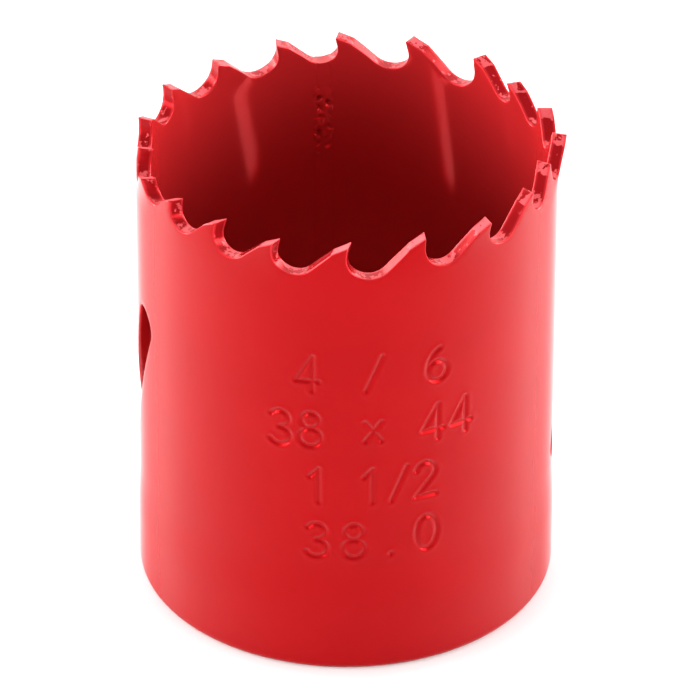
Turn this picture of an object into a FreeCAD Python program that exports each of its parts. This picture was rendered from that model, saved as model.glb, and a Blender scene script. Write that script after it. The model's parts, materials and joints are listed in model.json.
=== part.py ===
import FreeCAD, Part
import math
import os
import Sketcher
from FreeCAD import Placement, Rotation, Vector

# A hole saw: a steel cup with teeth round its open rim and a thick threaded cap
# pressed and welded into its other end. It stands on the cap, with its axis on
# +Z, the teeth up and the origin at the centre of the cap's outer face.
# Lengths are millimetres. Angles are degrees round the axis from +X, counted
# counter-clockwise as seen from the teeth, which is the way the saw cuts.

doc = FreeCAD.newDocument("HoleSaw")

# Driving dimensions

SIZES = [
    # the rolled wall
    ("body_radius", 18.5),
    ("wall_thickness", 1.27),
    ("overall_height", 43.7),
    ("flare_growth", 0.12),
    ("flare_foot_height", 5.8),
    ("flare_top_height", 11.0),
    ("foot_round", 0.5),
    # the two slanted slots through the wall
    ("slot_width", 4.3),
    ("slot_length", 19.3),
    ("slot_lean", 24.0),
    ("slot_height", 19.2),
    ("slot_azimuth", 7.0),
    ("slot_count", 2),
    # the form of a tooth gap, as shares of the gap's width, and its angles
    ("gullet_share", 0.25),
    ("floor_share", 0.3),
    ("land_share", 0.215),
    ("relief_angle", 26.0),
    ("back_angle", 44.0),
    ("hook_angle", 5.0),
    ("bend_share", 0.45),
    ("crown_height", 4.4),
    # the butt weld down the wall
    ("seam_azimuth", 97.1),
    ("seam_width", 1.2),
    ("bead_rise", 0.15),
    ("bead_margin", 0.05),
    # the end cap
    ("cap_thickness", 4.8),
    ("cap_lead_in", 0.4),
    ("thread_bore_radius", 7.25),
    ("thread_chamfer", 0.8),
    ("pin_hole_radius", 2.5),
    ("pin_web", 1.2),
    ("pin_chamfer", 0.2),
    ("pin_count", 2),
    # the ring weld between the wall and the cap
    ("groove_depth", 0.6),
    ("groove_half_width", 0.5),
    ("weld_recess", 0.1),
]

# Each tooth in turn from the seam weld: the angle to the next tip, and how far
# its tip is set outward (positive) or inward (negative). The gap after the last
# tooth, where the weld is, takes what is left of the full turn.
TEETH = [
    (21.25, -0.47),
    (19.5, -0.62),
    (18.6, 0.06),
    (16.1, 0.04),
    (15.5, -0.30),
    (13.4, 0.65),
    (16.7, 0.16),
    (18.3, -0.27),
    (20.0, 0.38),
    (21.6, 0.00),
    (19.3, -0.34),
    (19.1, 0.36),
    (15.8, 0.04),
    (15.7, -0.33),
    (14.2, 0.70),
    (16.3, 0.20),
    (17.2, -0.44),
    (21.95, 0.36),
    (21.15, -0.02),
    (None, -0.30),
]

sheet = doc.addObject("Spreadsheet::Sheet", "Sizes")
rows = list(SIZES)
for number, (pitch, offset) in enumerate(TEETH, start=1):
    if pitch is not None:
        rows.append(("pitch_%02d" % number, pitch))
    rows.append(("set_%02d" % number, offset))
for row, (alias, value) in enumerate(rows, start=1):
    sheet.set("A%d" % row, alias)
    sheet.set("B%d" % row, str(value))
    sheet.setAlias("B%d" % row, alias)
doc.recompute()


def size(alias):
    return float(sheet.get(alias))


def known(expression):
    return float(sheet.evalExpression(expression))


# Derived places that more than one piece uses, written once as expressions

INNER_RADIUS = "(Sizes.body_radius - Sizes.wall_thickness)"
MIDDLE_RADIUS = "(Sizes.body_radius - Sizes.wall_thickness / 2)"
FOOT_RADIUS = "(Sizes.body_radius + Sizes.flare_growth)"
CAP_RADIUS = "(Sizes.body_radius + Sizes.flare_growth - Sizes.wall_thickness)"
PIN_CIRCLE = "(Sizes.thread_bore_radius + Sizes.pin_web + Sizes.pin_hole_radius)"
BAND_FOOT = "(Sizes.overall_height - Sizes.crown_height)"
ABOVE_TIPS = "(Sizes.overall_height + Sizes.wall_thickness)"
OUTWARD = Vector(0, 0, 1)


# Sketch helpers

def pin_point(sketch, shape, end, x, y, name):
    """Hold one point of a sketch at x, y, each of them an expression."""
    for axis, line, expression in (("X", -2, x), ("Y", -1, y)):
        if expression == "0":
            sketch.addConstraint(Sketcher.Constraint("PointOnObject", shape, end, line))
            continue
        rule = Sketcher.Constraint("Distance" + axis, -1, 1, shape, end, known(expression))
        index = sketch.addConstraint(rule)
        sketch.renameConstraint(index, name + axis.lower())
        sketch.setExpression("Constraints." + name + axis.lower(), expression)


def draw_outline(sketch, corners):
    """Draw a closed outline of straight lines through corners given as expressions."""
    points = [Vector(known(x), known(y), 0) for x, y in corners]
    for start, end in zip(points, points[1:] + points[:1]):
        sketch.addGeometry(Part.LineSegment(start, end))
    for index, (x, y) in enumerate(corners):
        after = (index + 1) % len(corners)
        sketch.addConstraint(Sketcher.Constraint("Coincident", index, 2, after, 1))
        pin_point(sketch, index, 1, x, y, "corner%d" % index)


def set_value(sketch, rule, name, expression):
    """Add a dimension and bind it to an expression."""
    index = sketch.addConstraint(rule)
    sketch.renameConstraint(index, name)
    sketch.setExpression("Constraints." + name, expression)


def origin_plane(body, role):
    return next(plane for plane in body.Origin.OriginFeatures if plane.Role == role)


def body_sketch(body, role, name):
    sketch = body.newObject("Sketcher::SketchObject", name)
    sketch.AttachmentSupport = [(origin_plane(body, role), "")]
    sketch.MapMode = "FlatFace"
    return sketch


def section_sketch(name):
    """A free sketch in the XZ plane: its x is the radius and its y the height."""
    sketch = doc.addObject("Sketcher::SketchObject", name)
    sketch.Placement = Placement(Vector(), Rotation(Vector(1, 0, 0), 90))
    return sketch


def facing_sketch(name):
    """A free sketch that faces outward: its x runs round the saw and its y up."""
    sketch = doc.addObject("Sketcher::SketchObject", name)
    sketch.Placement = Placement(Vector(), Rotation(Vector(1, 1, 1), 120))
    return sketch


def radial_cutter(name, outline, length, azimuth):
    """A facing outline pushed outward and turned to an azimuth."""
    cutter = doc.addObject("Part::Extrusion", name)
    cutter.Base = outline
    cutter.DirMode = "Custom"
    cutter.Dir = Vector(1, 0, 0)
    cutter.Solid = True
    cutter.setExpression("LengthFwd", length)
    cutter.setExpression("Placement.Rotation.Angle", azimuth)
    return cutter


def boolean(kind, name, members):
    """A Part boolean of two or more objects, with the seams between like faces removed."""
    result = doc.addObject(kind, name)
    if kind in ("Part::MultiFuse", "Part::MultiCommon"):
        result.Shapes = members
    else:
        result.Base, result.Tool = members
    result.Refine = True
    return result


# The wall before its teeth: the strip rolled round, opened out a little over
# the cap, with its foot rounded outside and bevelled inside for the ring weld.
shell = doc.addObject("PartDesign::Body", "shell")
shell_section = body_sketch(shell, "YZ_Plane", "shell_section")
draw_outline(shell_section, [
    (FOOT_RADIUS, "0"),
    (FOOT_RADIUS, "Sizes.flare_foot_height"),
    ("Sizes.body_radius", "Sizes.flare_top_height"),
    ("Sizes.body_radius", BAND_FOOT),
    (INNER_RADIUS, BAND_FOOT),
    (INNER_RADIUS, "Sizes.flare_top_height"),
    (CAP_RADIUS, "Sizes.flare_foot_height"),
    (CAP_RADIUS, "Sizes.groove_depth"),
    (CAP_RADIUS + " + Sizes.groove_half_width", "0"),
])
shell_turn = shell.newObject("PartDesign::Revolution", "shell_turn")
shell_turn.Profile = shell_section
shell_turn.ReferenceAxis = (shell_section, ["V_Axis"])
shell_turn.Angle = 360
doc.recompute()

foot_edges = []
for index, edge in enumerate(shell_turn.Shape.Edges, start=1):
    box = edge.BoundBox
    if box.ZMax < 1e-6 and abs(box.XMax - known(FOOT_RADIUS)) < 1e-6:
        foot_edges.append("Edge%d" % index)
foot_round = shell.newObject("PartDesign::Fillet", "foot_round")
foot_round.Base = (shell_turn, foot_edges)
foot_round.setExpression("Radius", "Sizes.foot_round")
shell.Tip = foot_round

# The crown. Each tooth starts as a sector of ring, upright up to its bend line
# and leaning out or in above it by its set, and each gap between two tips is
# then milled through the ring. A sector runs from one gullet floor to the next,
# and its bend line lies a little above the shallower of those floors.
tooth_count = len(TEETH)
pitches = ["Sizes.pitch_%02d" % number for number in range(1, tooth_count)]
pitches.append("(360 - " + " - ".join(pitches) + ")")
ARC_OF_DEGREE = MIDDLE_RADIUS + " * pi / 180"

blanks = []
gullets = []
for index in range(tooth_count):
    number = index + 1
    before = pitches[index - 1]
    after = pitches[index]
    offset = "Sizes.set_%02d" % number
    bend = "Sizes.overall_height - Sizes.bend_share * %s * min(%s; %s)" % (ARC_OF_DEGREE, before, after)

    section = section_sketch("tooth_section_%02d" % number)
    draw_outline(section, [
        ("Sizes.body_radius", BAND_FOOT),
        ("Sizes.body_radius", bend),
        ("Sizes.body_radius + " + offset, "Sizes.overall_height"),
        (INNER_RADIUS + " + " + offset, "Sizes.overall_height"),
        (INNER_RADIUS, bend),
        (INNER_RADIUS, BAND_FOOT),
    ])
    blank = doc.addObject("Part::Revolution", "tooth_blank_%02d" % number)
    blank.Source = section
    blank.Axis = Vector(0, 0, 1)
    blank.Solid = True
    blank.addProperty("App::PropertyFloat", "Start", "Tooth", "where the sector starts")
    blank.addProperty("App::PropertyFloat", "Tip", "Tooth", "where the tip stands")
    if index == 0:
        blank.setExpression("Start", "Sizes.seam_azimuth")
    else:
        blank.setExpression("Start", "%s.Tip + Sizes.gullet_share * %s" % (blanks[-1].Name, before))
    blank.setExpression("Tip", "Start + (1 - Sizes.gullet_share) * " + before)
    blank.setExpression("Angle", "Tip + Sizes.gullet_share * %s - Start" % after)
    blank.setExpression("Placement.Rotation.Angle", "Start")
    blanks.append(blank)

    width = "(2 * %s * sin(%s / 2 * 1 deg))" % (MIDDLE_RADIUS, after)
    land_drop = "Sizes.land_share * %s * tan(Sizes.relief_angle * 1 deg)" % width
    gap = known(width)
    tip_height = size("overall_height")
    hook = math.radians(size("hook_angle"))
    back = math.radians(size("back_angle"))
    radius = size("floor_share") * gap
    rake_tip = Vector(-gap / 2, tip_height, 0)
    land_foot = Vector(gap / 2 - size("land_share") * gap, tip_height - known(land_drop), 0)
    next_tip = Vector(gap / 2, tip_height, 0)
    rake_normal = Vector(math.cos(hook), -math.sin(hook), 0)
    back_normal = Vector(-math.sin(back), math.cos(back), 0)
    cross = rake_normal.x * back_normal.y - rake_normal.y * back_normal.x
    rake_reach = rake_normal.dot(rake_tip) + radius
    back_reach = back_normal.dot(land_foot) + radius
    centre = Vector((rake_reach * back_normal.y - back_reach * rake_normal.y) / cross,
                    (rake_normal.x * back_reach - back_normal.x * rake_reach) / cross, 0)
    top = Vector(0, size("wall_thickness"), 0)

    profile = facing_sketch("gullet_profile_%02d" % number)
    profile.setExpression("Placement.Base.x", INNER_RADIUS + " - Sizes.wall_thickness")
    circle = Part.Circle(centre, OUTWARD, radius)
    profile.addGeometry(Part.LineSegment(centre - rake_normal * radius, rake_tip))
    profile.addGeometry(Part.ArcOfCircle(circle, math.pi - hook, 1.5 * math.pi + back))
    profile.addGeometry(Part.LineSegment(centre - back_normal * radius, land_foot))
    profile.addGeometry(Part.LineSegment(land_foot, next_tip))
    profile.addGeometry(Part.LineSegment(next_tip, next_tip + top))
    profile.addGeometry(Part.LineSegment(next_tip + top, rake_tip + top))
    profile.addGeometry(Part.LineSegment(rake_tip + top, rake_tip))
    profile.addConstraint(Sketcher.Constraint("Tangent", 0, 1, 1, 1))
    profile.addConstraint(Sketcher.Constraint("Tangent", 1, 2, 2, 1))
    for first in (2, 3, 4, 5):
        profile.addConstraint(Sketcher.Constraint("Coincident", first, 2, first + 1, 1))
    profile.addConstraint(Sketcher.Constraint("Coincident", 6, 2, 0, 2))
    set_value(profile, Sketcher.Constraint("Radius", 1, radius), "floor", "Sizes.floor_share * " + width)
    set_value(profile, Sketcher.Constraint("Angle", 0, math.pi / 2 - hook), "rake", "90 - Sizes.hook_angle")
    set_value(profile, Sketcher.Constraint("Angle", 2, back), "back", "Sizes.back_angle")
    pin_point(profile, 0, 2, "-%s / 2" % width, "Sizes.overall_height", "rake_tip_")
    pin_point(profile, 3, 1, "(0.5 - Sizes.land_share) * " + width,
              "Sizes.overall_height - " + land_drop, "land_foot_")
    pin_point(profile, 4, 1, width + " / 2", "Sizes.overall_height", "next_tip_")
    pin_point(profile, 5, 1, width + " / 2", ABOVE_TIPS, "top_right_")
    pin_point(profile, 6, 1, "-%s / 2" % width, ABOVE_TIPS, "top_left_")

    facing = "%s.Tip + %s / 2" % (blank.Name, after)
    gullets.append(radial_cutter("gullet_%02d" % number, profile, "3 * Sizes.wall_thickness", facing))

plain_ring = boolean("Part::MultiFuse", "plain_ring", [shell] + blanks)
milling = boolean("Part::MultiFuse", "milling", gullets)
toothed_ring = boolean("Part::Cut", "toothed_ring", [plain_ring, milling])

# The slots, punched in the flat strip, so all lean the same way round.
slot_outline = facing_sketch("slot_outline")
half_run = "(Sizes.slot_length - Sizes.slot_width) / 2"
slot_shift = half_run + " * sin(Sizes.slot_lean * 1 deg)"
slot_rise = half_run + " * cos(Sizes.slot_lean * 1 deg)"
lean = math.radians(size("slot_lean"))
along = Vector(math.sin(lean), math.cos(lean), 0)
across = Vector(math.cos(lean), -math.sin(lean), 0) * (size("slot_width") / 2)
middle = Vector(0, size("slot_height"), 0)
upper = middle + along * known(half_run)
lower = middle - along * known(half_run)
slot_radius = size("slot_width") / 2
slot_outline.addGeometry(Part.LineSegment(lower + across, upper + across))
slot_outline.addGeometry(Part.ArcOfCircle(Part.Circle(upper, OUTWARD, slot_radius), -lean, math.pi - lean))
slot_outline.addGeometry(Part.LineSegment(upper - across, lower - across))
slot_outline.addGeometry(Part.ArcOfCircle(Part.Circle(lower, OUTWARD, slot_radius), math.pi - lean, -lean))
for first in range(4):
    rule = Sketcher.Constraint("Tangent", first, 2, (first + 1) % 4, 1)
    slot_outline.addConstraint(rule)
pin_point(slot_outline, 1, 3, slot_shift, "Sizes.slot_height + " + slot_rise, "upper")
pin_point(slot_outline, 3, 3, "-" + slot_shift, "Sizes.slot_height - " + slot_rise, "lower")
set_value(slot_outline, Sketcher.Constraint("Radius", 1, slot_radius), "end", "Sizes.slot_width / 2")
slot_outline.addConstraint(Sketcher.Constraint("Equal", 1, 3))

slots = []
past_wall = FOOT_RADIUS + " + Sizes.wall_thickness"
for number in range(round(size("slot_count"))):
    turned = "Sizes.slot_azimuth + %d * 360 / Sizes.slot_count" % number
    slots.append(radial_cutter("slot_%d" % (number + 1), slot_outline, past_wall, turned))
punching = boolean("Part::MultiFuse", "punching", slots)
slotted_ring = boolean("Part::Cut", "slotted_ring", [toothed_ring, punching])

# The strip's two ends stop short of each other at the last gullet's floor, and
# weld metal fills what lies between them, standing proud inside as a low bead.
seam_gap = doc.addObject("Part::Box", "seam_gap")
seam_gap.setExpression("Length", "3 * Sizes.wall_thickness")
seam_gap.setExpression("Width", "Sizes.seam_width")
seam_gap.setExpression("Height", ABOVE_TIPS)
seam_start = INNER_RADIUS + " - Sizes.wall_thickness"
seam_gap.setExpression("Placement.Rotation.Angle", "Sizes.seam_azimuth")
seam_gap.setExpression("Placement.Base.x", "(%s) * cos(Sizes.seam_azimuth * 1 deg)"
                       " + Sizes.seam_width / 2 * sin(Sizes.seam_azimuth * 1 deg)" % seam_start)
seam_gap.setExpression("Placement.Base.y", "(%s) * sin(Sizes.seam_azimuth * 1 deg)"
                       " - Sizes.seam_width / 2 * cos(Sizes.seam_azimuth * 1 deg)" % seam_start)
toothed_wall = boolean("Part::Cut", "toothed_wall", [slotted_ring, seam_gap])
toothed_wall.Label = "toothed_wall"

seam_fill = boolean("Part::MultiCommon", "seam_fill", [toothed_ring, seam_gap])

bead_half = "(Sizes.seam_width / 2 - Sizes.bead_margin)"
bead_radius = "((%s * %s + Sizes.bead_rise * Sizes.bead_rise) / (2 * Sizes.bead_rise))" % (bead_half, bead_half)
bead_axis = "(%s - Sizes.bead_rise + %s)" % (INNER_RADIUS, bead_radius)
bead_round = doc.addObject("Part::Cylinder", "bead_round")
bead_round.setExpression("Radius", bead_radius)
bead_round.setExpression("Height", ABOVE_TIPS + " - Sizes.flare_top_height")
bead_round.setExpression("Placement.Base.x", bead_axis + " * cos(Sizes.seam_azimuth * 1 deg)")
bead_round.setExpression("Placement.Base.y", bead_axis + " * sin(Sizes.seam_azimuth * 1 deg)")
bead_round.setExpression("Placement.Base.z", "Sizes.flare_top_height")
bead_room = doc.addObject("Part::Cylinder", "bead_room")
bead_room.setExpression("Radius", INNER_RADIUS)
bead_room.setExpression("Height", ABOVE_TIPS)
bead_strip = boolean("Part::MultiCommon", "bead_strip", [bead_round, bead_room])
bead = boolean("Part::Cut", "bead", [bead_strip, gullets[-1]])
seam_weld = boolean("Part::MultiFuse", "seam_weld", [seam_fill, bead])
seam_weld.Label = "seam_weld"

# The end cap: a turned disc with the arbor's thread through its centre, cut
# here as its plain minor bore, and holes for the arbor's drive pins beside it.
end_cap = doc.addObject("PartDesign::Body", "end_cap")
end_cap.Label = "end_cap"
cap_section = body_sketch(end_cap, "XZ_Plane", "cap_section")
draw_outline(cap_section, [
    ("Sizes.thread_bore_radius + Sizes.thread_chamfer", "0"),
    (CAP_RADIUS + " - Sizes.groove_half_width", "0"),
    (CAP_RADIUS, "Sizes.groove_depth"),
    (CAP_RADIUS, "Sizes.cap_thickness - Sizes.cap_lead_in"),
    (CAP_RADIUS + " - Sizes.cap_lead_in", "Sizes.cap_thickness"),
    ("Sizes.thread_bore_radius + Sizes.thread_chamfer", "Sizes.cap_thickness"),
    ("Sizes.thread_bore_radius", "Sizes.cap_thickness - Sizes.thread_chamfer"),
    ("Sizes.thread_bore_radius", "Sizes.thread_chamfer"),
])
cap_turn = end_cap.newObject("PartDesign::Revolution", "cap_turn")
cap_turn.Profile = cap_section
cap_turn.ReferenceAxis = (cap_section, ["V_Axis"])
cap_turn.Angle = 360

pin_section = body_sketch(end_cap, "XZ_Plane", "pin_hole_section")
draw_outline(pin_section, [
    (PIN_CIRCLE, "0"),
    (PIN_CIRCLE + " + Sizes.pin_hole_radius + Sizes.pin_chamfer", "0"),
    (PIN_CIRCLE + " + Sizes.pin_hole_radius", "Sizes.pin_chamfer"),
    (PIN_CIRCLE + " + Sizes.pin_hole_radius", "Sizes.cap_thickness - Sizes.pin_chamfer"),
    (PIN_CIRCLE + " + Sizes.pin_hole_radius + Sizes.pin_chamfer", "Sizes.cap_thickness"),
    (PIN_CIRCLE, "Sizes.cap_thickness"),
])
pin_cut = end_cap.newObject("PartDesign::Groove", "pin_cut")
pin_cut.Profile = pin_section
pin_cut.ReferenceAxis = (pin_section, ["Edge6"])
pin_cut.Angle = 360
pin_holes = end_cap.newObject("PartDesign::PolarPattern", "pin_holes")
pin_holes.Originals = [pin_cut]
pin_holes.Axis = (cap_section, ["V_Axis"])
pin_holes.Angle = 360
pin_holes.setExpression("Occurrences", "Sizes.pin_count")
end_cap.Tip = pin_holes

# The ring weld: a triangular bead in the groove between wall and cap, its face
# a little short of the surface so that the saw stands on sound metal.
fill_share = "(1 - Sizes.weld_recess / Sizes.groove_depth)"
weld_half = "Sizes.groove_half_width * " + fill_share
weld_section = section_sketch("weld_section")
draw_outline(weld_section, [
    (CAP_RADIUS, "Sizes.groove_depth"),
    (CAP_RADIUS + " - " + weld_half, "Sizes.weld_recess"),
    (CAP_RADIUS + " + " + weld_half, "Sizes.weld_recess"),
])
cap_weld = doc.addObject("Part::Revolution", "cap_weld")
cap_weld.Label = "cap_weld"
cap_weld.Source = weld_section
cap_weld.Axis = Vector(0, 0, 1)
cap_weld.Angle = 360
cap_weld.Solid = True

doc.recompute()

# Every feature has to be sound, and every cut has to have removed metal

for item in doc.Objects:
    if "Invalid" in item.State or "Error" in item.State:
        raise RuntimeError("%s failed: %s" % (item.Label, item.State))
for before, after in ((plain_ring, toothed_ring), (toothed_ring, slotted_ring), (cap_turn, pin_holes)):
    if after.Shape.Volume > before.Shape.Volume - 1:
        raise RuntimeError("%s removed nothing" % after.Label)

os.makedirs("parts", exist_ok=True)
for piece in (toothed_wall, seam_weld, end_cap, cap_weld):
    if piece.Shape.isNull() or not piece.Shape.isValid():
        raise RuntimeError("%s has no sound shape" % piece.Label)
    piece.Shape.exportStep("parts/%s.step" % piece.Label)
    print(piece.Label, len(piece.Shape.Solids), "solid", round(piece.Shape.Volume, 2), "mm3")
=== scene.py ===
import json
import math

import bpy
import numpy as np
from mathutils import Matrix, Vector, noise
from mathutils.geometry import delaunay_2d_cdt


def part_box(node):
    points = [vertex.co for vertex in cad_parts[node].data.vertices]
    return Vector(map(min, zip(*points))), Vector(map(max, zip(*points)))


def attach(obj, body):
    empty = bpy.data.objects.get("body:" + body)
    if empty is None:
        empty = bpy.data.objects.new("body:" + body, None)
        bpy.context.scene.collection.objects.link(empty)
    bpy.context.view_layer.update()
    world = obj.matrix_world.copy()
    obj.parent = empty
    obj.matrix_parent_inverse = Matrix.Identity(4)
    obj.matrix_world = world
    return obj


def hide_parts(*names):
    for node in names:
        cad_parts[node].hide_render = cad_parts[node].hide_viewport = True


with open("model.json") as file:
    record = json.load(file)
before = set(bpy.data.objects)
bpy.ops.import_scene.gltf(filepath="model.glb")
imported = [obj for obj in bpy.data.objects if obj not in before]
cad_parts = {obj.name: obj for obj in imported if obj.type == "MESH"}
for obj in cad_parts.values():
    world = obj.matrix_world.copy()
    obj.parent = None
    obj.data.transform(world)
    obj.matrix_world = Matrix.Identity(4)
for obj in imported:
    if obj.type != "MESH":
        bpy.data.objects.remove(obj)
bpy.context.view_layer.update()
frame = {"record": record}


# The toothed wall. A strip of spring steel with the cutting teeth milled in one
# edge, two slanted slots punched through it and its figures stamped in, then
# rolled into a cup, set tooth by tooth and dipped in glossy red paint.

MM = 0.001
BODY_RADIUS = 18.5
WALL = 1.27
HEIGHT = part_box("toothed_wall")[1].z / MM
FLARE_GROWTH = 0.12
FLARE_FOOT = 5.8
FLARE_TOP = 11.0
FOOT_ROUND = 0.5
GROOVE_DEPTH = 0.6
GROOVE_HALF = 0.5
MIDDLE = BODY_RADIUS - WALL / 2
FOOT_RADIUS = BODY_RADIUS + FLARE_GROWTH
CAP_RADIUS = FOOT_RADIUS - WALL
ROUND_TRIP = 2 * math.pi * MIDDLE

SEAM_AT = 97.1
SEAM_HALF = 0.6

SLOT_WIDTH = 3.5
SLOT_LENGTH = 19.3
SLOT_LEAN = math.radians(24)
SLOT_HEIGHT = 20.4
SLOTS_AT = (6.4, 186.4)

# Each tooth from the seam round: the angle to the next tip, and its set
TEETH = [
    (21.25, -0.47), (19.5, -0.62), (18.6, 0.06), (16.1, 0.04), (15.5, -0.30),
    (13.4, 0.65), (16.7, 0.16), (18.3, -0.27), (20.0, 0.38), (21.6, 0.00),
    (19.3, -0.34), (19.1, 0.36), (15.8, 0.04), (15.7, -0.33), (14.2, 0.70),
    (16.3, 0.20), (17.2, -0.44), (21.95, 0.36), (21.15, -0.02), (None, -0.30),
]
GULLET_SHARE = 0.25
FLOOR_SHARE = 0.3
LAND_SHARE = 0.215
RELIEF = math.radians(26)
BACK = math.radians(44)
HOOK = math.radians(5)
TIP_WEAR = 0.1
CREST_SHARE = 0.42
LEAN_REACH = 4.3
LEAN_CURVE = 2.2
TIP_SKEW = 0.36
SKEW_REACH = 2.4

pitches = [pitch for pitch, _ in TEETH[:-1]]
pitches.append(360 - sum(pitches))
sets = [offset for _, offset in TEETH]
tips = [SEAM_AT + (1 - GULLET_SHARE) * pitches[-1]]
for pitch in pitches[:-1]:
    tips.append(tips[-1] + pitch)


def along(azimuth):
    """Distance round the middle of the wall from the seam to an azimuth, in mm."""
    return MIDDLE * math.radians(azimuth - SEAM_AT)


def bowed(x):
    """A flat distance from a facing line, laid round the middle of the wall."""
    return MIDDLE * np.arcsin(np.asarray(x) / MIDDLE)


def arc(centre, radii, start, stop, count):
    turn = np.radians(np.linspace(start, stop, count))
    return np.column_stack([centre[0] + radii[0] * np.cos(turn), centre[1] + radii[1] * np.sin(turn)])


def gap_line(pitch):
    """One gap from a tip to the next, as x from the gap's middle and height."""
    gap = 2 * MIDDLE * math.sin(math.radians(pitch) / 2)
    radius = FLOOR_SHARE * gap
    tip = np.array([-gap / 2, HEIGHT])
    land_foot = np.array([gap / 2 - LAND_SHARE * gap, HEIGHT - LAND_SHARE * gap * math.tan(RELIEF)])
    rake_normal = np.array([math.cos(HOOK), -math.sin(HOOK)])
    back_normal = np.array([-math.sin(BACK), math.cos(BACK)])
    reach = [rake_normal @ tip + radius, back_normal @ land_foot + radius]
    centre = np.linalg.solve([rake_normal, back_normal], reach)
    floor = arc(centre, (radius, radius), 180 - math.degrees(HOOK), 270 + math.degrees(BACK), 18)
    down = np.array([-math.sin(HOOK), -math.cos(HOOK)])
    up_land = np.array([math.cos(RELIEF), math.sin(RELIEF)])
    next_tip = np.array([gap / 2, HEIGHT])
    worn = next_tip - up_land * TIP_WEAR
    crest = next_tip + (down - up_land) * TIP_WEAR * CREST_SHARE
    return np.vstack([tip + down * TIP_WEAR, floor, land_foot, worn, crest])


def divided(line, step):
    """A line with its long runs divided so that no run is over a step."""
    out = [line[0]]
    for start, end in zip(line, line[1:]):
        count = max(1, math.ceil(np.linalg.norm(end - start) / step))
        out += [start + (end - start) * part / count for part in range(1, count + 1)]
    return np.array(out)


# The rim is one line from the seam round to the seam again
rim = []
for tip, pitch in zip(tips, pitches):
    gap_points = gap_line(pitch)
    rim.append(np.column_stack([bowed(gap_points[:, 0]) + along(tip + pitch / 2), gap_points[:, 1]]))
rim = np.vstack(rim)
wrapped = rim - [ROUND_TRIP, 0]
rim = np.vstack([wrapped[wrapped[:, 0] > SEAM_HALF], rim[rim[:, 0] < ROUND_TRIP - SEAM_HALF]])

# The seam runs up into the floor of the last gap, so its top edge follows that floor
seam_gap = wrapped[-20:]
ends = np.interp([SEAM_HALF, -SEAM_HALF], seam_gap[:, 0], seam_gap[:, 1])
rim = np.vstack([[SEAM_HALF, ends[0]], rim, [ROUND_TRIP - SEAM_HALF, ends[1]]])
CUT_STEP = 0.26
PLAIN_STEP = 0.5
FOOT_LINE = GROOVE_DEPTH
rim = divided(rim, CUT_STEP)
end_at = ROUND_TRIP - SEAM_HALF
seam_sides = [divided(np.array([[end_at, ends[1]], [end_at, FOOT_LINE]]), PLAIN_STEP),
              divided(np.array([[SEAM_HALF, FOOT_LINE], [SEAM_HALF, ends[0]]]), PLAIN_STEP)]
foot_edge = divided(np.array([[end_at, FOOT_LINE], [SEAM_HALF, FOOT_LINE]]), PLAIN_STEP)

slot_run = (SLOT_LENGTH - SLOT_WIDTH) / 2
slot_axis = np.array([math.sin(SLOT_LEAN), math.cos(SLOT_LEAN)]) * slot_run
slot_ends = (SLOT_WIDTH / 2, SLOT_WIDTH / 2)
lean_degrees = math.degrees(SLOT_LEAN)
slot_line = np.vstack([
    arc(slot_axis + [0, SLOT_HEIGHT], slot_ends, -lean_degrees, 180 - lean_degrees, 30),
    arc([0, SLOT_HEIGHT] - slot_axis, slot_ends, 180 - lean_degrees, 360 - lean_degrees, 30),
])
slot_line = divided(np.vstack([slot_line, slot_line[:1]]), CUT_STEP)[:-1]
slot_loops = []
for azimuth in SLOTS_AT:
    place = along(azimuth) % ROUND_TRIP
    slot_loops.append(np.column_stack([bowed(slot_line[:, 0]) + place, slot_line[:, 1]]))

# The figures are stamped one stroke deep: plain sizes, in millimetres and inches
GLYPH_WIDTH = 1.95
GLYPH_HEIGHT = 3.45
ROWS_AT = 277.3
ROWS = [("4 / 6", 31.0, 2.74), ("38 x 44", 25.1, 2.62), ("1 1/2", 19.4, 2.30), ("38.0", 13.7, 3.10)]
GLYPHS = {
    "0": [arc((0.5, 0.5), (0.48, 0.5), 0, 360, 25)],
    "1": [[(0.12, 0.76), (0.5, 1.0), (0.5, 0.0)]],
    "2": [np.vstack([arc((0.48, 0.72), (0.44, 0.28), 165, -38, 12), [(0.04, 0.0), (0.96, 0.0)]])],
    "3": [arc((0.46, 0.76), (0.42, 0.24), 150, -88, 12), arc((0.46, 0.26), (0.48, 0.26), 88, -152, 14)],
    "4": [[(0.72, 0.0), (0.72, 1.0), (0.02, 0.28), (0.98, 0.28)]],
    "6": [arc((0.5, 0.29), (0.46, 0.29), 0, 360, 20), arc((0.98, 0.32), (0.94, 0.68), 112, 180, 8)],
    "8": [arc((0.5, 0.77), (0.38, 0.23), 0, 360, 18), arc((0.5, 0.27), (0.47, 0.27), 0, 360, 20)],
    "/": [[(0.15, 0.0), (0.85, 1.0)]],
    "x": [[(0.15, 0.22), (0.85, 0.78)], [(0.15, 0.78), (0.85, 0.22)]],
    ".": [[(0.48, 0.03), (0.52, 0.06)]],
}
STROKE_DEPTH = 0.125
STROKE_HALF = 0.19
LIP_RISE = 0.03
LIP_AT = 0.42
LIP_HALF = 0.2
HAND_SHAKE = 0.05
shaky = np.random.default_rng(5)

strokes = []
for text, row_height, cell in ROWS:
    for column, mark in enumerate(text):
        shift = shaky.normal(0, HAND_SHAKE, 2)
        for line in GLYPHS.get(mark, []):
            line = (np.array(line) - 0.5) * (GLYPH_WIDTH, GLYPH_HEIGHT) + shift
            line += (along(ROWS_AT) + (column - (len(text) - 1) / 2) * cell, row_height)
            strokes += list(zip(line, line[1:]))


def stroke_distance(points):
    """How far each point of the unrolled wall is from the nearest stamped stroke."""
    nearest = np.full(len(points), 9.0)
    for start, end in strokes:
        run = end - start
        share = np.clip((points - start) @ run / (run @ run), 0, 1)
        nearest = np.minimum(nearest, np.linalg.norm(points - start - share[:, None] * run, axis=1))
    return nearest


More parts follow.
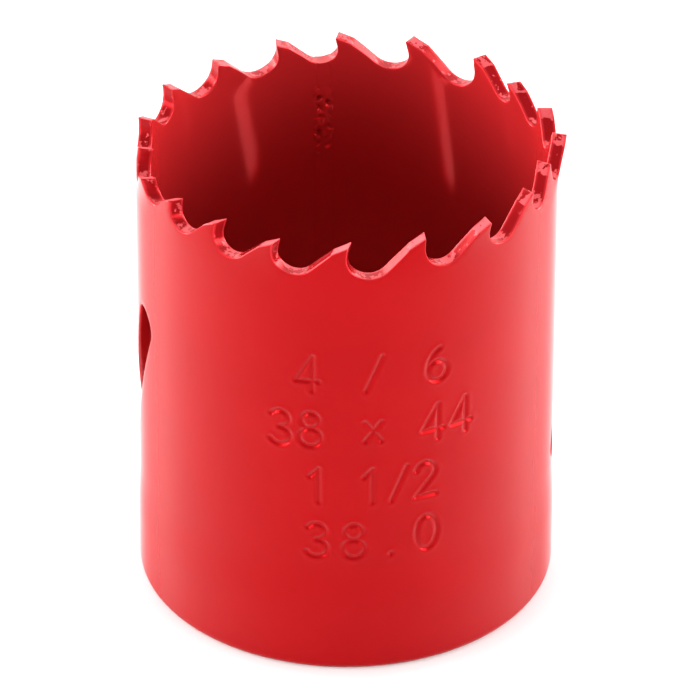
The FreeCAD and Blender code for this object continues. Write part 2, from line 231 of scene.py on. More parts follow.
def stamping(distance):
    lip = LIP_RISE * np.exp(-((distance - LIP_AT) / LIP_HALF) ** 2)
    return lip - STROKE_DEPTH * np.exp(-(distance / STROKE_HALF) ** 2)


def inside(points, loop):
    """Which points a closed loop encloses, by counting the loop's crossings above each."""
    hits = np.zeros(len(points), bool)
    for start, end in zip(loop, np.roll(loop, -1, axis=0)):
        if start[0] == end[0]:
            continue
        straddles = (start[0] > points[:, 0]) != (end[0] > points[:, 0])
        level = start[1] + (points[:, 0] - start[0]) * (end[1] - start[1]) / (end[0] - start[0])
        hits ^= straddles & (points[:, 1] < level)
    return hits


def hex_points(low, high, step):
    rise = step * math.sqrt(0.75)
    rows = np.arange(low[1], high[1], rise)
    columns = np.arange(low[0], high[0], step)
    grid = np.stack(np.meshgrid(columns, rows), axis=-1)
    grid[1::2, :, 0] += step / 2
    return grid.reshape(-1, 2)


def lead_in(loop, amounts):
    """Each point of a loop moved into the metal, which lies on its right, by an amount."""
    ahead = np.roll(loop, -1, axis=0) - loop
    ahead /= np.linalg.norm(ahead, axis=1)[:, None]
    behind = np.roll(ahead, 1, axis=0)
    mean = ahead + behind
    mean /= np.linalg.norm(mean, axis=1)[:, None]
    reach = 1 / np.maximum(0.45, np.sum(mean * ahead, axis=1))
    return loop + np.column_stack([mean[:, 1], -mean[:, 0]]) * (amounts * reach)[:, None]


def wall_radius(height):
    """The outer radius of the cup at a height: straight, and opened out over the cap."""
    share = np.clip((FLARE_TOP - height) / (FLARE_TOP - FLARE_FOOT), 0, 1)
    return BODY_RADIUS + FLARE_GROWTH * share * share * (3 - 2 * share)


def tooth_lean(distance, height):
    """How far the wall leans out or in at a place on the crown, from the teeth's set."""
    azimuth = SEAM_AT + np.degrees(np.asarray(distance) / MIDDLE)
    ramp = np.clip((height - HEIGHT + LEAN_REACH) / LEAN_REACH, 0, None) ** LEAN_CURVE
    lean = np.zeros(len(azimuth))
    for index, tip in enumerate(tips):
        before, after = pitches[index - 1], pitches[index]
        away = (azimuth - tip + 180) % 360 - 180
        fade_in = np.clip((away + before) / (0.5 * before), 0, 1)
        fade_out = np.clip(1 - away / (0.5 * after), 0, 1)
        share = np.minimum(fade_in, fade_out)
        lean += sets[index] * ramp * share * share * (3 - 2 * share)
    return lean


def cut_skew(height):
    """How far the milled edge runs ahead on the inside of the wall, most at the tips."""
    share = np.clip(1 - (HEIGHT - np.asarray(height)) / SKEW_REACH, 0, 1)
    return TIP_SKEW * share * share * (3 - 2 * share)


def rolled(distance, height, radius):
    azimuth = math.radians(SEAM_AT) + distance / MIDDLE
    return np.column_stack([radius * np.cos(azimuth), radius * np.sin(azimuth), height]) * MM


EDGE_ROUND = 0.09
SEAM_EDGE_ROUND = 0.03
TIP_ROUND = 0.04
OUTER_STEP = 0.55
FINE_REACH = 0.8
FINE_STEP = 0.1
INNER_STEP = 0.6
EDGE_CLEAR = 0.25
CUT_CLEAR = 0.16
CROWN_FOOT = HEIGHT - 4.9
WORN_TIP = 0.12

outline = np.vstack([rim[:-1], seam_sides[0][:-1], foot_edge[:-1], seam_sides[1][:-1]])
counts = [len(rim) - 1, len(seam_sides[0]) - 1, len(foot_edge) - 1, len(seam_sides[1]) - 1]
kind = np.repeat(["rim", "seam", "foot", "seam"], counts)
kind[sum(counts[:3])] = "foot"
rounding = np.where(kind == "rim", EDGE_ROUND, SEAM_EDGE_ROUND)
rounding[outline[:, 1] > HEIGHT - WORN_TIP] = TIP_ROUND
inner_line = lead_in(outline, rounding)
inner_line[kind == "foot", 1] = FOOT_LINE
inner_line[:, 0] = np.clip(inner_line[:, 0], SEAM_HALF + SEAM_EDGE_ROUND,
                           ROUND_TRIP - SEAM_HALF - SEAM_EDGE_ROUND)

# Pale patches on the level parts of the cut: the lands most, the gullet floors less, and the rake faces
# and back slopes hardly at all, with fewer towards the back. Their pale colour is a painted highlight,
# the reflection of bright light on up-facing faces; their bumps and roughness are the paint's own mottle.
LAND_DROP = 0.75
LAND_MOTTLE_AND_HIGHLIGHT = 0.8
FLOOR_MOTTLE_AND_HIGHLIGHT = 0.48
SLOPE_MOTTLE_AND_HIGHLIGHT = 0.1
SLOT_MOTTLE_AND_HIGHLIGHT = 0.3
BACK_PATCH_FADE = 0.12
MOST_PATCHES_AT = 260
ahead_of = np.roll(outline, -1, axis=0) - np.roll(outline, 1, axis=0)
flatness = np.abs(ahead_of[:, 0]) / np.linalg.norm(ahead_of, axis=1)
on_land = (outline[:, 1] > HEIGHT - LAND_DROP) & (flatness > 0.8)
rim_mottle_and_highlight = np.where(on_land, LAND_MOTTLE_AND_HIGHLIGHT, SLOPE_MOTTLE_AND_HIGHLIGHT + FLOOR_MOTTLE_AND_HIGHLIGHT * np.clip((flatness - 0.7) / 0.25, 0, 1))
# The painted highlight fades towards the back.
from_most_patches = outline[:, 0] / MIDDLE + math.radians(SEAM_AT - MOST_PATCHES_AT)
rim_mottle_and_highlight *= 1 - BACK_PATCH_FADE + BACK_PATCH_FADE * np.cos(from_most_patches)

loops = [outline] + slot_loops
mottle_and_highlight_loops = [rim_mottle_and_highlight] + [np.full(len(loop), SLOT_MOTTLE_AND_HIGHLIGHT) for loop in slot_loops]
kinds = [kind] + [np.full(len(loop), "slot") for loop in slot_loops]
rounds = [rounding] + [np.full(len(loop), EDGE_ROUND) for loop in slot_loops]
inset_loops = [inner_line] + [lead_in(loop, amount) for loop, amount in zip(slot_loops, rounds[1:])]


def clear_of(points, others, gap):
    """Which points lie at least a gap from every one of the others."""
    free = np.ones(len(points), bool)
    for start in range(0, len(others), 40):
        away = points[:, None, :] - others[None, start:start + 40, :]
        free &= (np.abs(away).max(axis=2) > gap).all(axis=1)
    return free


def fill(loops, points):
    """Triangles inside the first loop and outside the others; the loops' points come first."""
    edges, first = [], 0
    for loop in loops:
        edges += [(first + i, first + (i + 1) % len(loop)) for i in range(len(loop))]
        first += len(loop)
    flat = np.vstack(list(loops) + [points])
    _, _, triangles, origins, _, _ = delaunay_2d_cdt([Vector(point) for point in flat], edges, [], 1, 1e-7)
    home = [origin[0] for origin in origins]
    triangles = np.array([[home[i] for i in triangle] for triangle in triangles])
    on_loops = np.flatnonzero((triangles < first).all(axis=1))
    middles = flat[triangles[on_loops]].mean(axis=1)
    spare = ~inside(middles, loops[0])
    for loop in loops[1:]:
        spare |= inside(middles, loop)
    return flat, np.delete(triangles, on_loops[spare], axis=0).tolist()


def skin(grids):
    """The unrolled wall's points and triangles, through the points of some grids."""
    points = np.vstack(grids)
    crown = points[:, 1] > CROWN_FOOT
    keep = (points[:, 0] > SEAM_HALF + EDGE_CLEAR) & (points[:, 0] < ROUND_TRIP - SEAM_HALF - EDGE_CLEAR)
    keep &= points[:, 1] > FOOT_LINE + EDGE_CLEAR
    keep[crown] &= inside(points[crown], inset_loops[0])
    keep[crown] &= clear_of(points[crown], inset_loops[0][kind == "rim"], CUT_CLEAR)
    for loop in inset_loops[1:]:
        low, high = loop.min(0) - 1, loop.max(0) + 1
        near = np.flatnonzero(((points > low) & (points < high)).all(axis=1))
        keep[near] &= ~inside(points[near], loop) & clear_of(points[near], loop, CUT_CLEAR)
    return fill(inset_loops, points[keep])


low, high = np.array([0.0, 0.0]), np.array([ROUND_TRIP, HEIGHT])
coarse = hex_points(low, high, OUTER_STEP)
coarse = coarse[stroke_distance(coarse) > FINE_REACH + 0.15]
stamped_low = np.min([start for start, _ in strokes], axis=0) - FINE_REACH - 0.3
stamped_high = np.max([start for start, _ in strokes], axis=0) + FINE_REACH + 0.3
fine = hex_points(stamped_low, stamped_high, FINE_STEP)
fine = fine[stroke_distance(fine) < FINE_REACH]
outer_flat, outer_faces = skin([coarse, fine])
inner_flat, inner_faces = skin([hex_points(low, high, INNER_STEP)])


def mesh_object(name, points, faces, masks=None):
    mesh = bpy.data.meshes.new(name)
    mesh.from_pydata([tuple(point) for point in points], [], faces)
    mesh.validate()
    mesh.shade_smooth()
    for mask, values in (masks or {}).items():
        layer = mesh.attributes.new(mask, "FLOAT", "POINT")
        layer.data.foreach_set("value", np.asarray(values, np.float32))
    made = bpy.data.objects.new(name, mesh)
    bpy.context.scene.collection.objects.link(made)
    return made


outer_radius = wall_radius(outer_flat[:, 1]) + tooth_lean(outer_flat[:, 0], outer_flat[:, 1])
outer_radius += stamping(stroke_distance(outer_flat))
inner_radius = wall_radius(inner_flat[:, 1]) - WALL + tooth_lean(inner_flat[:, 0], inner_flat[:, 1])
points = [rolled(outer_flat[:, 0], outer_flat[:, 1], outer_radius),
          rolled(inner_flat[:, 0] + cut_skew(inner_flat[:, 1]), inner_flat[:, 1], inner_radius)]
faces = [list(face) for face in outer_faces]
inner_start = len(outer_flat)
faces += [[inner_start + i for i in reversed(face)] for face in inner_faces]
worn = [np.zeros(len(outer_flat)), np.zeros(len(inner_flat))]
milled = [np.zeros(len(outer_flat)), np.zeros(len(inner_flat))]
pooled = [np.zeros(len(outer_flat)), np.zeros(len(inner_flat))]
# The inside face is marked for a lighter red, which is painted light.
lining = [np.zeros(len(outer_flat)), np.ones(len(inner_flat))]

# Rings of points carry the wall's rounded edges from its outer skin to its inner
# one: how far each ring is led in, how deep it lies, and whether it takes the lighter red of the edges.
BEVEL = [(1 - math.sin(a), 1 - math.cos(a)) for a in np.radians([30, 60, 90])]
MILL_MARKS = 0.022
foot_arc = [(FOOT_RADIUS - FOOT_ROUND * (1 - math.cos(a)), FOOT_ROUND * (1 - math.sin(a)))
            for a in np.radians([0, 22, 45, 68, 90])]
groove_top = CAP_RADIUS + GROOVE_HALF
foot_section = foot_arc + [((foot_arc[-1][0] + groove_top) / 2, 0), (groove_top, 0)]
foot_section += [(groove_top - GROOVE_HALF * part, GROOVE_DEPTH * part) for part in (0.35, 0.7)]

first, ring_start = 0, inner_start + len(inner_flat)
for loop, inset, names, amounts, loop_mottle_and_highlight in zip(loops, inset_loops, kinds, rounds, mottle_and_highlight_loops):
    size = len(loop)
    chain = [np.arange(size) + first]
    for ring in range(9):
        mid = 2 < ring < 6
        if ring < 3:
            led, deep = BEVEL[ring][0], BEVEL[ring][1] * amounts
        elif ring > 5:
            led, deep = BEVEL[8 - ring][0], WALL - BEVEL[8 - ring][1] * amounts
        else:
            led, deep = 0.0, amounts + (WALL - 2 * amounts) * (ring - 2) / 4
        flat = loop + (inset - loop) * led
        if mid:
            marks = [noise.noise(Vector((x * 1.9, z * 1.9, ring * 0.8))) for x, z in flat]
            flat = flat + (inset - loop) / amounts[:, None] * (np.array(marks) + 0.2)[:, None] * MILL_MARKS
        radius = wall_radius(flat[:, 1]) + tooth_lean(flat[:, 0], flat[:, 1]) - deep
        at_foot = names == "foot"
        flat[at_foot, 0] = inset[at_foot, 0]
        flat[at_foot, 1] = foot_section[ring][1]
        radius[at_foot] = foot_section[ring][0]
        ahead = cut_skew(flat[:, 1]) * np.clip(deep / WALL, 0, 1)
        points.append(rolled(flat[:, 0] + ahead, flat[:, 1], radius))
        worn.append(np.where(at_foot | (names == "seam"), 0.0, 0.0 if mid else 1.0))
        milled.append(np.where((names == "rim") & (1 < ring < 7), 1.0, 0.0))
        pooled.append(loop_mottle_and_highlight if 1 < ring < 7 else loop_mottle_and_highlight * 0)
        lining.append(np.full(size, float(ring > 5)))
        chain.append(np.arange(size) + ring_start)
        ring_start += size
    chain.append(np.arange(size) + first + inner_start)
    for near, far in zip(chain, chain[1:]):
        for i in range(size):
            j = (i + 1) % size
            faces.append([int(near[i]), int(near[j]), int(far[j]), int(far[i])])
    first += size

wall = mesh_object("rolled_toothed_wall", np.vstack(points), faces,
                   {"worn": np.concatenate(worn), "milled": np.concatenate(milled),
                    "pooled": np.concatenate(pooled), "lining": np.concatenate(lining)})
weighted = wall.modifiers.new("even_shading", "WEIGHTED_NORMAL")
weighted.mode = "FACE_AREA"
weighted.weight = 60


class Socket:
    """One output of a shader node. Arithmetic on it adds Math nodes; node() adds any other."""

    def __init__(self, tree, output=None):
        self.tree = tree
        self.output = output

    def node(self, kind, settings=None, inputs=None, output=0):
        made = self.tree.nodes.new("ShaderNode" + kind)
        for name, value in (settings or {}).items():
            setattr(made, name, value)
        for name, value in (inputs or {}).items():
            if isinstance(value, Socket):
                self.tree.links.new(value.output, made.inputs[name])
            else:
                made.inputs[name].default_value = value
        return Socket(self.tree, made.outputs[output])

    def maths(self, operation, *values):
        return self.node("Math", {"operation": operation}, dict(enumerate(values)))

    def __add__(self, other):
        return self.maths("ADD", self, other)

    def __sub__(self, other):
        return self.maths("SUBTRACT", self, other)

    def __rsub__(self, other):
        return self.maths("SUBTRACT", other, self)

    def __mul__(self, other):
        return self.maths("MULTIPLY", self, other)

    __radd__ = __add__
    __rmul__ = __mul__

    def between(self, low, high):
        """0 below low, 1 above high and smooth between them."""
        return self.node("MapRange", {"interpolation_type": "SMOOTHSTEP"},
                         {"Value": self, "From Min": low, "From Max": high})


RED = (0.325, 0.0045, 0.006, 1)
# A lighter red for the rounded edges.
EDGE_PINK = (0.56, 0.027, 0.033, 1)
DEEP_RED = (0.26, 0.004, 0.0055, 1)
# A lighter red for the inside face of the cup: painted light, standing in for light reaching the inside.
INSIDE_PAINTED_LIGHT_RED = (0.445, 0.016, 0.018, 1)
CUT_RED = (0.28, 0.006, 0.008, 1)
# A pale pink for patches on the cut faces: a painted highlight.
PAINTED_HIGHLIGHT_RED = (0.58, 0.078, 0.086, 1)
CLOUD_SCALE = 130.0
PEEL_SCALE = 900.0
GRAIN_SCALE = 3600.0
DUST_SCALE = 420.0
TORN_SCALE = 1300.0
PEEL_HEIGHT = 0.0022
GRAIN_HEIGHT = 0.0016
SPECK_HEIGHT = 0.0022
TORN_HEIGHT = 0.006
PATCH_HEIGHT = 0.012
SMOOTHEST = 0.075
GLOSS = 0.54
EDGE_GLOSS_LOSS = 0.75
CUT_GLOSS_LOSS = 0.6


def colour_mix(share, below, above):
    return share.node("Mix", {"data_type": "RGBA"}, {0: share, 6: below, 7: above}, 2)


def paint(name, with_inside_painted_light=False, cut_edges=False):
    """Glossy red paint over bright steel: orange peel, dust specks, and painted light on an inside face."""
    material = bpy.data.materials.new(name)
    material.use_nodes = True
    tree = material.node_tree
    tree.nodes.clear()
    start = Socket(tree)
    place = start.node("TexCoord", output="Object")

    def speckle(scale, detail, roughness=0.5):
        return start.node("TexNoise", None, {"Vector": place, "Scale": scale, "Detail": detail,
                                             "Roughness": roughness})

    def mask(attribute):
        return start.node("Attribute", {"attribute_name": attribute}, None, "Fac")

    cloud = speckle(CLOUD_SCALE, 4.0)
    grain = speckle(GRAIN_SCALE, 1.5)
    dust = {output: start.node("TexVoronoi", None, {"Vector": place, "Scale": DUST_SCALE}, output)
            for output in ("Distance", "Color")}
    rare = start.node("SeparateColor", None, {"Color": dust["Color"]}).between(0.95, 0.985)
    speck = (1 - dust["Distance"].between(0.05, 0.13)) * rare
    colour = colour_mix(cloud.between(0.25, 0.8) * 0.35, RED, DEEP_RED)
    roughness = SMOOTHEST + cloud * 0.03 + grain * 0.03
    height = speckle(PEEL_SCALE, 2.0) * PEEL_HEIGHT + grain * GRAIN_HEIGHT + speck * SPECK_HEIGHT
    # The inside face is painted a lighter red: painted light.
    if with_inside_painted_light:
        colour = colour_mix(mask("lining"), colour, INSIDE_PAINTED_LIGHT_RED)
    if cut_edges:
        cut = mask("milled")
        torn = speckle(TORN_SCALE, 4.0, 0.62)
        patch_threshold = 0.67 - mask("pooled") * 0.34
        patch = (torn - patch_threshold).between(-0.015, 0.02) * cut
        colour = colour_mix(cut, colour, CUT_RED)
        # Pale patches on the cut faces: a painted highlight, the reflection of bright light on up-facing
        # faces.
        colour = colour_mix(patch, colour, PAINTED_HIGHLIGHT_RED)
        # The rounded edges are coloured a lighter red.
        colour = colour_mix(mask("worn").between(0.2, 0.9) * 0.7, colour, EDGE_PINK)
        roughness = roughness + patch * 0.2 + cut * 0.13
        height = height + cut * torn * TORN_HEIGHT + patch * PATCH_HEIGHT
    bump = start.node("Bump", None, {"Height": height, "Strength": 1.0, "Distance": MM})
    turned = start.node("LayerWeight", None, {"Blend": 0.5, "Normal": bump}, "Facing")
    gloss = turned.between(0.08, 0.62) * GLOSS * (1 - turned.between(0.55, 0.8) * EDGE_GLOSS_LOSS)
    if cut_edges:
        gloss = gloss * (1 - cut * CUT_GLOSS_LOSS)
    shader = start.node("BsdfPrincipled", None, {
        "Base Color": colour, "Roughness": roughness, "Normal": bump,
        "Metallic": 0.35, "Specular IOR Level": 0.07, "Specular Tint": (1.0, 0.35, 0.36, 1),
        "Coat Weight": gloss, "Coat Roughness": 0.08,
    })
    finish = tree.nodes.new("ShaderNodeOutputMaterial")
    tree.links.new(shader.output, finish.inputs["Surface"])
    return material


wall.data.materials.append(paint("wall_red_paint", with_inside_painted_light=True, cut_edges=True))
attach(wall, "root")
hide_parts("toothed_wall")


# The seam weld. Where the strip's ends meet, a bead of weld metal fills the gap
# through the wall: ground flush outside, left proud and rippled inside the cup.

BEAD_RISE = 0.13
BEAD_HALF = 1.05
BEAD_TOP = 39.8
BEAD_SUNK = 0.03
SKIN_SUNK = 0.012
TOP_SUNK = 0.006
LUMP_RISE = 0.15
PIT_DEPTH = 1.2
RIPPLE_FOOT = 31.0
ACROSS = 20
SEAM_ROWS = 420


def foot_limits(height):
    """Outer and inner radius of the metal at a height, with the foot's round and bevel."""
    outer, inner = wall_radius(np.array([height]))[0], wall_radius(np.array([height]))[0] - WALL
    if height < FOOT_ROUND:
        outer -= FOOT_ROUND - math.sqrt(FOOT_ROUND ** 2 - (FOOT_ROUND - height) ** 2)
    if height < GROOVE_DEPTH:
        inner += GROOVE_HALF * (1 - height / GROOVE_DEPTH)
    return outer, inner


def ramp_up(value, low, high):
    return min(1.0, max(0.0, (value - low) / (high - low)))


def bead_height(x, height):
    """The bead's rise at a place across and up the seam, with its lumps and the pits at its toes."""
    share = x / BEAD_HALF
    crown = max(0.0, 1 - share * share)
    fading = 1 - 0.8 * ramp_up(height, BEAD_TOP - 1.5, BEAD_TOP + 0.5)
    grown = ramp_up(height, FLARE_TOP, FLARE_TOP + 2) * fading
    rippled_up_to = 1 - ramp_up(height, BEAD_TOP - 2.2, BEAD_TOP - 1)
    lively = ramp_up(height, RIPPLE_FOOT, RIPPLE_FOOT + 3) * rippled_up_to
    lump = noise.noise(Vector((x * 2.2, height * 1.6, 4.0))) * LUMP_RISE
    toe = math.exp(-((abs(share) - 0.55) / 0.3) ** 2)
    pit = max(0.0, noise.noise(Vector((x * 1.5, height * 1.7, 9.0)))) * PIT_DEPTH * toe
    rise = BEAD_RISE * (0.35 + 0.65 * lively)
    return grown * (rise * crown + (lump - pit) * lively * crown ** 0.5) - BEAD_SUNK * (1 - crown)


seam_points, seam_faces = [], []
for row in range(SEAM_ROWS + 1):
    for side in (1, -1):
        half = SEAM_HALF if side > 0 else BEAD_HALF
        for step in range(ACROSS + 1):
            x = half * side * (1 - 2 * step / ACROSS)
            top = np.interp(x, seam_gap[:, 0], seam_gap[:, 1]) - TOP_SUNK
            height = top * row / SEAM_ROWS
            outer, inner = foot_limits(height)
            radius = outer - SKIN_SUNK if side > 0 else inner - bead_height(x, height)
            seam_points.append(rolled(np.array([x]), np.array([height]), np.array([radius]))[0])
section = 2 * (ACROSS + 1)
for row in range(SEAM_ROWS):
    for i in range(section):
        j = (i + 1) % section
        a, b = row * section, (row + 1) * section
        seam_faces.append([a + j, a + i, b + i, b + j])
for row, turned in ((0, False), (SEAM_ROWS, True)):
    for i in range(ACROSS):
        a, b = row * section + i, row * section + section - 1 - i
        face = [a, a + 1, b - 1, b]
        seam_faces.append(face[::-1] if turned else face)
# The bead's inside face takes the same lighter red, painted light.
seam_inside_painted_light = np.tile(np.repeat([0.0, 1.0], ACROSS + 1), SEAM_ROWS + 1)
seam = mesh_object("seam_bead", seam_points, seam_faces, {"lining": seam_inside_painted_light})
seam.data.set_sharp_from_angle(angle=math.radians(50))
seam.data.materials.append(paint("weld_red_paint", with_inside_painted_light=True))
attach(seam, "root")
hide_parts("seam_weld")


# The end cap. A turned steel disc pressed into the cup's foot, tapped right
# through for the arbor and drilled for its two drive pins.

mounts = {mount["name"]: mount for mount in frame["record"]["mounts"]}
CAP_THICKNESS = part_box("end_cap")[1].z / MM
CAP_LEAD = 0.4
CAP_FIT = 0.02
CAP_STEP = 0.8
SIDE_ROW = 2.5
RIM_CLEAR = 0.9
HOLE_CLEAR = 0.3
BORE = mounts["arbor_thread"]["dims"]["r_mm"]
THREAD_ROOT = 7.9
THREAD_PITCH = 25.4 / 18
THREAD_CHAMFER = 0.8
THREAD_FLAT = 0.09
THREAD_FLANK = math.radians(30)
PIN_RADIUS = mounts["drive_pins"]["dims"]["hole_r_mm"]
PIN_CIRCLE = mounts["drive_pins"]["dims"]["spacing_x_mm"] / 2
PIN_CHAMFER = 0.2
THREAD_ROWS = 64
THREAD_STEPS = 144


def thread_radius(azimuth, height):
    """The tapped bore's radius: a right-handed sixty-degree thread with flat crests and roots."""
    phase = (height / THREAD_PITCH - azimuth / (2 * math.pi)) % 1.0
    flank = (abs(phase - 0.5) * THREAD_PITCH - THREAD_FLAT) / math.tan(THREAD_FLANK)
    groove = THREAD_ROOT - max(0.0, flank)
    end = min(height, CAP_THICKNESS - height)
    return max(BORE, groove, BORE + THREAD_CHAMFER - end)


def circle_loop(centre, radius, count):
    return arc(centre, (radius, radius), 0, 360, count + 1)[:-1]


RIM_STEPS = 180
PIN_STEPS = 48
cap_points, cap_faces = [], []


def add_ring(loop, height):
    """One ring of points at a height; gives the numbers of its points."""
    start = len(cap_points)
    heights = height if np.ndim(height) else np.full(len(loop), height)
    cap_points.extend(np.column_stack([loop, heights]))
    return list(range(start, start + len(loop)))


def join_rings(rings, flip):
    for low_ring, high_ring in zip(rings, rings[1:]):
        for i in range(len(low_ring)):
            j = (i + 1) % len(low_ring)
            face = [low_ring[i], low_ring[j], high_ring[j], high_ring[i]]
            cap_faces.append(face[::-1] if flip else face)


pressed = CAP_RADIUS - CAP_FIT
rim_section = [(CAP_RADIUS - GROOVE_HALF, 0), (pressed, GROOVE_DEPTH), (pressed, SIDE_ROW)]
rim_section.append((pressed, CAP_THICKNESS - CAP_LEAD))
rim_section.append((CAP_RADIUS - 0.3 * CAP_LEAD, CAP_THICKNESS - 0.325 * CAP_LEAD))
rim_section.append((CAP_RADIUS - CAP_LEAD, CAP_THICKNESS))
rim_rings = [add_ring(circle_loop((0, 0), radius, RIM_STEPS), height) for radius, height in rim_section]
join_rings(rim_rings, False)
turns = np.linspace(0, 2 * math.pi, THREAD_STEPS, endpoint=False)
bore_rings = []
for row in range(THREAD_ROWS + 1):
    height = CAP_THICKNESS * row / THREAD_ROWS
    radii = np.array([thread_radius(turn, height) for turn in turns])
    bore_rings.append(add_ring(np.column_stack([radii * np.cos(turns), radii * np.sin(turns)]), height))
join_rings(bore_rings, True)
mouth = [(PIN_CHAMFER, 0), (0.3 * PIN_CHAMFER, 0.6 * PIN_CHAMFER), (0, 1.2 * PIN_CHAMFER)]
depths = mouth + [(0, CAP_THICKNESS / 2)]
depths += [(more, CAP_THICKNESS - height) for more, height in reversed(mouth)]
pin_rings = []
for side in (1, -1):
    centre = (side * PIN_CIRCLE, 0)
    pin_rings.append([add_ring(circle_loop(centre, PIN_RADIUS + more, PIN_STEPS), height)
                      for more, height in depths])
    join_rings(pin_rings[-1], True)

for end, height in ((0, 0.0), (-1, CAP_THICKNESS)):
    rings = [rim_rings[end], bore_rings[end], pin_rings[0][end], pin_rings[1][end]]
    numbers = [number for ring in rings for number in ring]
    flat = np.array([cap_points[number][:2] for number in numbers])
    grid = hex_points(np.array([-CAP_RADIUS] * 2), np.array([CAP_RADIUS] * 2), CAP_STEP)
    away = np.linalg.norm(grid, axis=1)
    keep = (away < CAP_RADIUS - RIM_CLEAR) & (away > BORE + THREAD_CHAMFER + HOLE_CLEAR)
    for side in (1, -1):
        from_pin = np.linalg.norm(grid - [side * PIN_CIRCLE, 0], axis=1)
        keep &= from_pin > PIN_RADIUS + PIN_CHAMFER + HOLE_CLEAR
    grid = grid[keep]
    numbers += add_ring(grid, height)
    sizes = np.cumsum([len(ring) for ring in rings])
    for face in fill(np.split(flat, sizes)[:-1], grid)[1]:
        face = [numbers[i] for i in face]
        cap_faces.append(face if end else face[::-1])

cap = mesh_object("threaded_end_cap", np.array(cap_points) * MM, cap_faces)
cap.data.set_sharp_from_angle(angle=math.radians(25))
cap.data.materials.append(paint("cap_red_paint"))
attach(cap, "root")
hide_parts("end_cap")


# The ring weld. A small bead run round the groove between the cup and its cap,
# with the puddle's ripples left in it and paint over them.

WELD_RECESS = 0.1
WELD_CROWN = 0.05
WELD_RIPPLE = 0.02
WELD_LUMP = 0.025
WELD_SUNK = 0.06
WELD_SEAT = 0.03
WELD_FIT = 0.98
RIPPLES = 120
WELD_STEPS = 540
WELD_SECTION = 9
weld_half = GROOVE_HALF * (1 - WELD_RECESS / GROOVE_DEPTH)
ring_points, ring_faces = [], []
for step in range(WELD_STEPS):
    turn = 2 * math.pi * step / WELD_STEPS
    lump = WELD_LUMP * noise.noise(Vector((math.cos(turn) * 2.2, math.sin(turn) * 2.2, 1.0)))
    for part in range(WELD_SECTION):
        x = 1 - 2 * part / (WELD_SECTION - 1)
        ripple = WELD_RIPPLE * math.sin(RIPPLES * turn + 2.2 * x * x)
        crown = (1 - x * x) * (WELD_CROWN + ripple + lump)
        radius = CAP_RADIUS + weld_half * x * WELD_FIT
        height = WELD_RECESS + WELD_SUNK - crown
        ring_points.append((radius * math.cos(turn), radius * math.sin(turn), height))
    seat = GROOVE_DEPTH - WELD_SEAT
    ring_points.append((CAP_RADIUS * math.cos(turn), CAP_RADIUS * math.sin(turn), seat))
around = WELD_SECTION + 1
for step in range(WELD_STEPS):
    a, b = step * around, (step + 1) % WELD_STEPS * around
    for part in range(around):
        after = (part + 1) % around
        ring_faces.append([a + part, a + after, b + after, b + part])
ring = mesh_object("cap_ring_bead", np.array(ring_points) * MM, ring_faces)
ring.data.materials.append(bpy.data.materials["weld_red_paint"])
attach(ring, "root")
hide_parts("cap_weld")


# The table. A sheet of matt white board, flecked a very little, that the saw stands
# on. It runs well past the picture on every side.

BOARD_HALF = 1.5
BOARD_STEPS = 24
BOARD_WHITE = (0.86, 0.86, 0.86, 1)
FLECK_WHITE = (0.84, 0.84, 0.84, 1)
lines_at = np.linspace(-BOARD_HALF, BOARD_HALF, BOARD_STEPS + 1)
board_points = [(x, y, 0.0) for y in lines_at for x in lines_at]
board_faces = []
for row in range(BOARD_STEPS):
    for column in range(BOARD_STEPS):
        a = row * (BOARD_STEPS + 1) + column
        board_faces.append([a, a + 1, a + BOARD_STEPS + 2, a + BOARD_STEPS + 1])
table = mesh_object("table", board_points, board_faces)
matt = bpy.data.materials.new("matt_white_board")
matt.use_nodes = True
board_tree = matt.node_tree
board_tree.nodes.clear()
blank = Socket(board_tree)
fleck = blank.node("TexNoise", None, {"Scale": 300.0, "Detail": 2.0})
white = colour_mix(fleck.between(0.3, 0.7) * 0.5, BOARD_WHITE, FLECK_WHITE)
matt_shader = blank.node("BsdfPrincipled", None, {"Base Color": white, "Roughness": 0.8,
                                                  "Specular IOR Level": 0.1})
board_end = board_tree.nodes.new("ShaderNodeOutputMaterial")
board_tree.links.new(matt_shader.output, board_end.inputs["Surface"])
table.data.materials.append(matt)


# The light. A white tent round the saw: very bright low down at the sides, a little
# more on the left, bright behind, and dim overhead and towards the viewer.

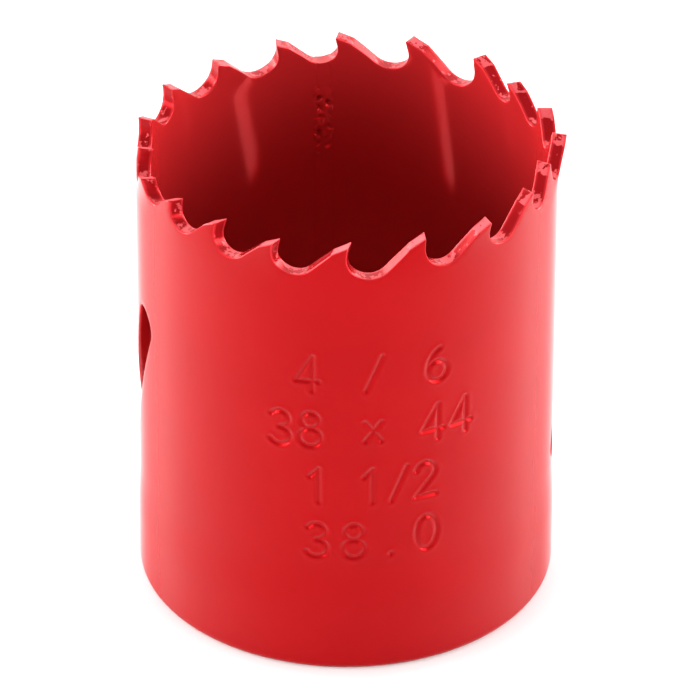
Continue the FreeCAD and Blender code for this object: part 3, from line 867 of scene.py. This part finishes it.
DIMMEST = 0.4
BEHIND_LIGHT = 2.7
SIDE_LIGHT = 12.8
LEFT_SHARE = 0.08

world = bpy.data.worlds.new("light_tent")
world.use_nodes = True
sky_tree = world.node_tree
sky_tree.nodes.clear()
sky = Socket(sky_tree)
towards = sky.node("TexCoord", output="Generated")
split = {axis: sky.node("SeparateXYZ", None, {"Vector": towards}, axis) for axis in "XYZ"}
behind = split["Y"].between(0.15, 0.75)
beside = split["X"].maths("ABSOLUTE", split["X"]).between(0.45, 0.95) * (1 - split["Z"].between(0.25, 0.65))
beside = beside * (1 - split["X"] * LEFT_SHARE)
strength = DIMMEST + behind * BEHIND_LIGHT + beside * SIDE_LIGHT
glow = sky.node("Background", None, {"Color": (1, 1, 1, 1), "Strength": strength})
sky_end = sky_tree.nodes.new("ShaderNodeOutputWorld")
sky_tree.links.new(glow.output, sky_end.inputs["Surface"])
bpy.context.scene.world = world
bpy.context.scene.view_settings.view_transform = "Standard"


# The camera. It looks down at 33 degrees from in front, through a long lens, so
# that the cup narrows only a little towards its foot.

VIEW_DISTANCE = 560.9
VIEW_DOWN = 0.57712
AIM_HEIGHT = 21.52
ROLL = 0.00309
TURN = 0.00057
LENS = 324.4

eye = Vector((0, -VIEW_DISTANCE * math.cos(VIEW_DOWN), AIM_HEIGHT + VIEW_DISTANCE * math.sin(VIEW_DOWN)))
forward = Vector((TURN, math.cos(VIEW_DOWN), -math.sin(VIEW_DOWN))).normalized()
sideways = forward.cross(Vector((0, 0, 1))).normalized()
upward = sideways.cross(forward)
right = sideways * math.cos(ROLL) + upward * math.sin(ROLL)
up = upward * math.cos(ROLL) - sideways * math.sin(ROLL)
lens = bpy.data.cameras.new("viewer")
lens.lens = LENS
lens.sensor_width = 36
lens.clip_start = 0.01
camera = bpy.data.objects.new("viewer", lens)
camera.matrix_world = Matrix.Translation(eye * MM) @ Matrix((right, up, -forward)).transposed().to_4x4()
bpy.context.scene.collection.objects.link(camera)
bpy.context.scene.camera = camera
